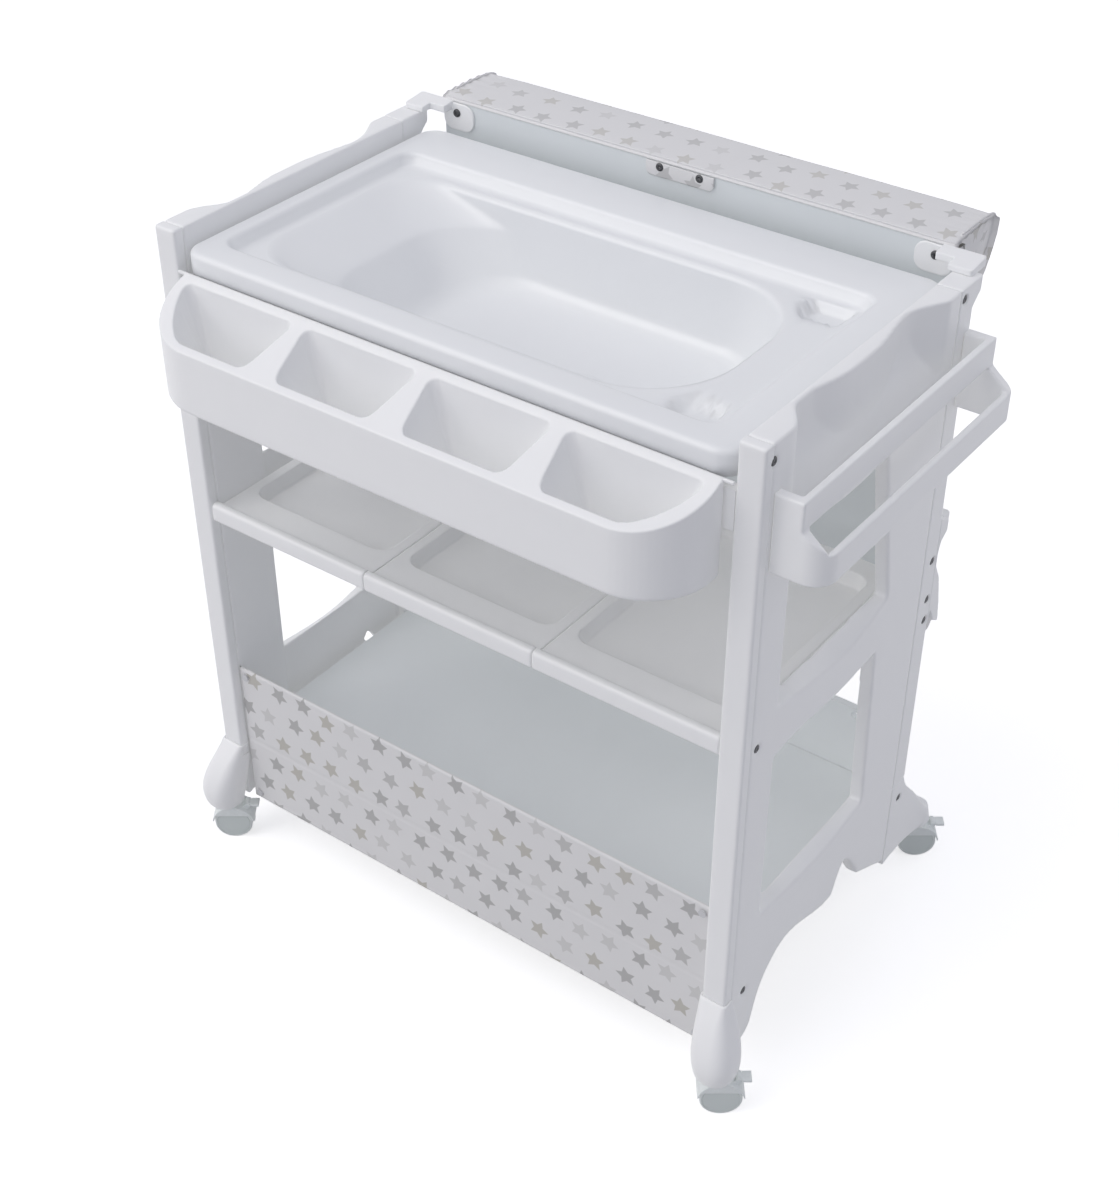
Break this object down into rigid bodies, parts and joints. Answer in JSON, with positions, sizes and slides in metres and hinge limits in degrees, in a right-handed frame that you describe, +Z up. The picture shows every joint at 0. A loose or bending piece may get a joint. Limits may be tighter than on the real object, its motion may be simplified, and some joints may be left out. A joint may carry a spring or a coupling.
{
  "type": "changing table with bathtub",
  "caption": "Wheeled baby changing table with a lift-out bathtub, front organiser, shelf, storage box, towel rail and a padded changing top hung behind.",
  "frame": {"origin": "on the floor, under the middle of the object's footprint", "axes": "+X to the right as seen from the front, towards the towel rail; +Y to the rear, towards the hanging changing top; +Z up"},
  "size_m": [0.8622, 0.6324, 0.905],
  "materials": {
    "white_plastic": "satin",
    "tub_plastic": "smooth",
    "painted_board": "smooth",
    "star_print_cover": "printed",
    "castor_plastic": "satin",
    "castor_wheel": "satin",
    "steel": "brushed",
    "dark_screw": "blackened",
    "press_stud": "satin"
  },
  "bodies": {
    "frame": {"side_panel_left": "white_plastic", "side_panel_right": "white_plastic", "front_post_left": "white_plastic", "front_post_right": "white_plastic", "rear_post_left": "white_plastic", "rear_post_right": "white_plastic", "front_foot_left": "white_plastic", "front_foot_right": "white_plastic", "rear_foot_left": "white_plastic", "rear_foot_right": "white_plastic", "guide_plate_left": "white_plastic", "guide_plate_right": "white_plastic", "side_screws_left": "dark_screw", "side_screws_right": "dark_screw", "front_cross_rail": "white_plastic", "rear_cross_rail": "white_plastic", "shelf_tray_left": "white_plastic", "shelf_tray_middle": "white_plastic", "shelf_tray_right": "white_plastic", "shelf_rail_front": "white_plastic", "shelf_rail_rear": "white_plastic", "organiser_tray": "white_plastic", "floor_board": "painted_board", "front_panel": "star_print_cover", "front_panel_studs": "press_stud", "back_panel": "painted_board", "back_panel_screws": "dark_screw", "towel_rail": "white_plastic"},
    "bathtub": {"tub": "tub_plastic", "drain_outlet": "tub_plastic"},
    "plug": {"drain_plug": "tub_plastic"},
    "changing_top": {"changer_board": "painted_board", "changer_pad": "star_print_cover", "changer_tab": "star_print_cover", "changer_screws": "dark_screw", "hanger_bracket_left": "white_plastic", "hanger_bracket_right": "white_plastic", "stay_bracket_left": "white_plastic", "stay_bracket_right": "white_plastic"},
    "castor_front_left": {"castor_body_front_left": "castor_plastic", "castor_axle_front_left": "steel"},
    "wheel_near_front_left": {"castor_wheel_near_front_left": "castor_wheel"},
    "wheel_far_front_left": {"castor_wheel_far_front_left": "castor_wheel"},
    "brake_front_left": {"brake_lever_front_left": "castor_plastic"},
    "castor_front_right": {"castor_body_front_right": "castor_plastic", "castor_axle_front_right": "steel"},
    "wheel_near_front_right": {"castor_wheel_near_front_right": "castor_wheel"},
    "wheel_far_front_right": {"castor_wheel_far_front_right": "castor_wheel"},
    "brake_front_right": {"brake_lever_front_right": "castor_plastic"},
    "castor_rear_left": {"castor_body_rear_left": "castor_plastic", "castor_axle_rear_left": "steel"},
    "wheel_near_rear_left": {"castor_wheel_near_rear_left": "castor_wheel"},
    "wheel_far_rear_left": {"castor_wheel_far_rear_left": "castor_wheel"},
    "brake_rear_left": {"brake_lever_rear_left": "castor_plastic"},
    "castor_rear_right": {"castor_body_rear_right": "castor_plastic", "castor_axle_rear_right": "steel"},
    "wheel_near_rear_right": {"castor_wheel_near_rear_right": "castor_wheel"},
    "wheel_far_rear_right": {"castor_wheel_far_rear_right": "castor_wheel"},
    "brake_rear_right": {"brake_lever_rear_right": "castor_plastic"}
  },
  "joints": [
    {"name": "tub_lift", "type": "slide", "parent": "frame", "child": "bathtub", "axis": [0, 0, 1], "range_m": [0, 0.25]},
    {"name": "plug_lift", "type": "slide", "parent": "bathtub", "child": "plug", "axis": [0, 0, 1], "range_m": [0, 0.03]},
    {"name": "changing_top_lift", "type": "slide", "parent": "frame", "child": "changing_top", "axis": [0, 0, 1], "range_m": [0, 0.41]},
    {"name": "swivel_front_left", "type": "hinge", "parent": "frame", "child": "castor_front_left", "pos_m": [-0.40389, -0.24015, 0.058], "axis": [0, 0, 1], "continuous": true},
    {"name": "roll_near_front_left", "type": "hinge", "parent": "castor_front_left", "child": "wheel_near_front_left", "pos_m": [-0.3924, -0.24222, 0.025], "axis": [0.5948, -0.8039, 0], "continuous": true},
    {"name": "roll_far_front_left", "type": "hinge", "parent": "castor_front_left", "child": "wheel_far_front_left", "pos_m": [-0.40251, -0.22856, 0.025], "axis": [0.5948, -0.8039, 0], "continuous": true},
    {"name": "brake_press_front_left", "type": "hinge", "parent": "castor_front_left", "child": "brake_front_left", "pos_m": [-0.38152, -0.2236, 0.05037], "axis": [0.5948, -0.8039, 0], "range_deg": [-20, 0]},
    {"name": "swivel_front_right", "type": "hinge", "parent": "frame", "child": "castor_front_right", "pos_m": [0.37111, -0.24015, 0.058], "axis": [0, 0, 1], "continuous": true},
    {"name": "roll_near_front_right", "type": "hinge", "parent": "castor_front_right", "child": "wheel_near_front_right", "pos_m": [0.3826, -0.24222, 0.025], "axis": [0.5948, -0.8039, 0], "continuous": true},
    {"name": "roll_far_front_right", "type": "hinge", "parent": "castor_front_right", "child": "wheel_far_front_right", "pos_m": [0.37249, -0.22856, 0.025], "axis": [0.5948, -0.8039, 0], "continuous": true},
    {"name": "brake_press_front_right", "type": "hinge", "parent": "castor_front_right", "child": "brake_front_right", "pos_m": [0.39348, -0.2236, 0.05037], "axis": [0.5948, -0.8039, 0], "range_deg": [-20, 0]},
    {"name": "swivel_rear_left", "type": "hinge", "parent": "frame", "child": "castor_rear_left", "pos_m": [-0.38389, 0.27285, 0.058], "axis": [0, 0, 1], "continuous": true},
    {"name": "roll_near_rear_left", "type": "hinge", "parent": "castor_rear_left", "child": "wheel_near_rear_left", "pos_m": [-0.3724, 0.27078, 0.025], "axis": [0.5948, -0.8039, 0], "continuous": true},
    {"name": "roll_far_rear_left", "type": "hinge", "parent": "castor_rear_left", "child": "wheel_far_rear_left", "pos_m": [-0.38251, 0.28444, 0.025], "axis": [0.5948, -0.8039, 0], "continuous": true},
    {"name": "brake_press_rear_left", "type": "hinge", "parent": "castor_rear_left", "child": "brake_rear_left", "pos_m": [-0.36152, 0.2894, 0.05037], "axis": [0.5948, -0.8039, 0], "range_deg": [-20, 0]},
    {"name": "swivel_rear_right", "type": "hinge", "parent": "frame", "child": "castor_rear_right", "pos_m": [0.35111, 0.27285, 0.058], "axis": [0, 0, 1], "continuous": true},
    {"name": "roll_near_rear_right", "type": "hinge", "parent": "castor_rear_right", "child": "wheel_near_rear_right", "pos_m": [0.3626, 0.27078, 0.025], "axis": [0.5948, -0.8039, 0], "continuous": true},
    {"name": "roll_far_rear_right", "type": "hinge", "parent": "castor_rear_right", "child": "wheel_far_rear_right", "pos_m": [0.35249, 0.28444, 0.025], "axis": [0.5948, -0.8039, 0], "continuous": true},
    {"name": "brake_press_rear_right", "type": "hinge", "parent": "castor_rear_right", "child": "brake_rear_right", "pos_m": [0.37348, 0.2894, 0.05037], "axis": [0.5948, -0.8039, 0], "range_deg": [-20, 0]}
  ]
}
